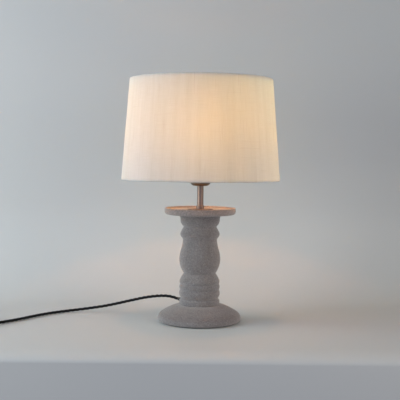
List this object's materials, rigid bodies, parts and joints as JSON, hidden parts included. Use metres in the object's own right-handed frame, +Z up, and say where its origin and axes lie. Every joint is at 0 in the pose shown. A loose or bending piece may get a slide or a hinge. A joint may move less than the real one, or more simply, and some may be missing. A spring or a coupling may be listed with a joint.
{
  "type": "table lamp",
  "caption": "Table lamp: turned baluster column with a dished top on a domed foot, short stem, push-bar lampholder, tapered drum linen shade and a twisted flex with its plug",
  "frame": {"origin": "centre of the underside of the felt, on the surface the lamp stands on", "axes": "+Z up along the column's axis, -Y towards the viewer of the picture, +X to that viewer's right"},
  "size_m": [0.7353, 0.35, 0.5358],
  "materials": {
    "stone_effect": "turned wood under a sandy grey stone-effect coat, matt, finely speckled",
    "linen": "cream linen weave with slubs, matt, lets light through",
    "shade_liner": "white translucent laminate",
    "white_wire": "white coated steel wire",
    "brushed_nickel": "satin nickel, warm",
    "holder_metal": "satin nickel, darker",
    "plated_steel": "zinc plated",
    "brass": "plain",
    "ballast_iron": "rough cast",
    "felt": "dark green-black felt",
    "black_moulding": "black moulding",
    "black_rubber": "soft black",
    "core_sheath": "insulated cores",
    "porcelain": "unglazed white",
    "bulb_glass": "frosted",
    "bulb_black_glass": "black vitreous insulator",
    "bulb_aluminium": "rolled thread",
    "filament": "yellow phosphor",
    "flex_braid": "black braid over three twisted cores",
    "fuse_ceramic": "plain"
  },
  "bodies": {
    "root": {"felt_pad": "felt", "base_foot": "stone_effect", "ballast_weight": "ballast_iron", "ballast_screws": "plated_steel", "column_shaft": "stone_effect", "column_screws": "plated_steel", "top_dish": "stone_effect", "dish_spacer": "plated_steel", "dish_disc": "brushed_nickel", "stem_collar": "brushed_nickel", "stem_tube": "brushed_nickel", "threaded_rod": "plated_steel", "rod_washer": "plated_steel", "rod_nut": "plated_steel", "flex_clamp": "black_moulding", "clamp_screws": "plated_steel", "strain_relief": "black_rubber", "inner_flex": "core_sheath", "lampholder_cup": "holder_metal", "cup_lock_screw": "plated_steel", "lampholder_shell": "holder_metal", "switch_block": "black_moulding", "terminal_screws": "brass", "contact_insert": "porcelain", "centre_contact": "brass", "screw_shell": "brass", "lower_shade_ring": "holder_metal", "cord_lead": "flex_braid", "cord_coil": "flex_braid", "coil_tie": "black_rubber", "cord_tail": "flex_braid", "plug_cover": "black_moulding", "plug_base": "black_moulding", "plug_pins": "brass", "plug_fuse": "fuse_ceramic", "plug_screw": "plated_steel", "plug_grip": "black_moulding"},
    "switch": {"switch_bar": "brushed_nickel", "switch_tips": "black_moulding"},
    "bulb": {"bulb_cap": "bulb_aluminium", "bulb_insulator": "bulb_black_glass", "bulb_contact": "brass", "bulb_glass": "bulb_glass", "bulb_stem": "bulb_glass", "bulb_filaments": "filament"},
    "ring": {"retaining_ring": "holder_metal"},
    "shade": {"shade_fabric": "linen", "shade_liner": "shade_liner", "top_ring": "white_wire", "bottom_ring": "white_wire", "fitter_ring": "white_wire", "fitter_arms": "white_wire"}
  },
  "joints": [
    {"name": "switch_push", "type": "slide", "parent": "root", "child": "switch", "axis": [-1, 0, 0], "range_m": [0, 0.005]},
    {"name": "bulb_unscrew", "type": "slide", "parent": "root", "child": "bulb", "axis": [0, 0, 1], "range_m": [0, 0.023]},
    {"name": "ring_unscrew", "type": "slide", "parent": "root", "child": "ring", "axis": [0, 0, 1], "range_m": [0, 0.028]},
    {"name": "shade_turn", "type": "hinge", "parent": "root", "child": "shade", "pos_m": [0, 0, 0.355], "axis": [0, 0, 1], "continuous": true}
  ]
}
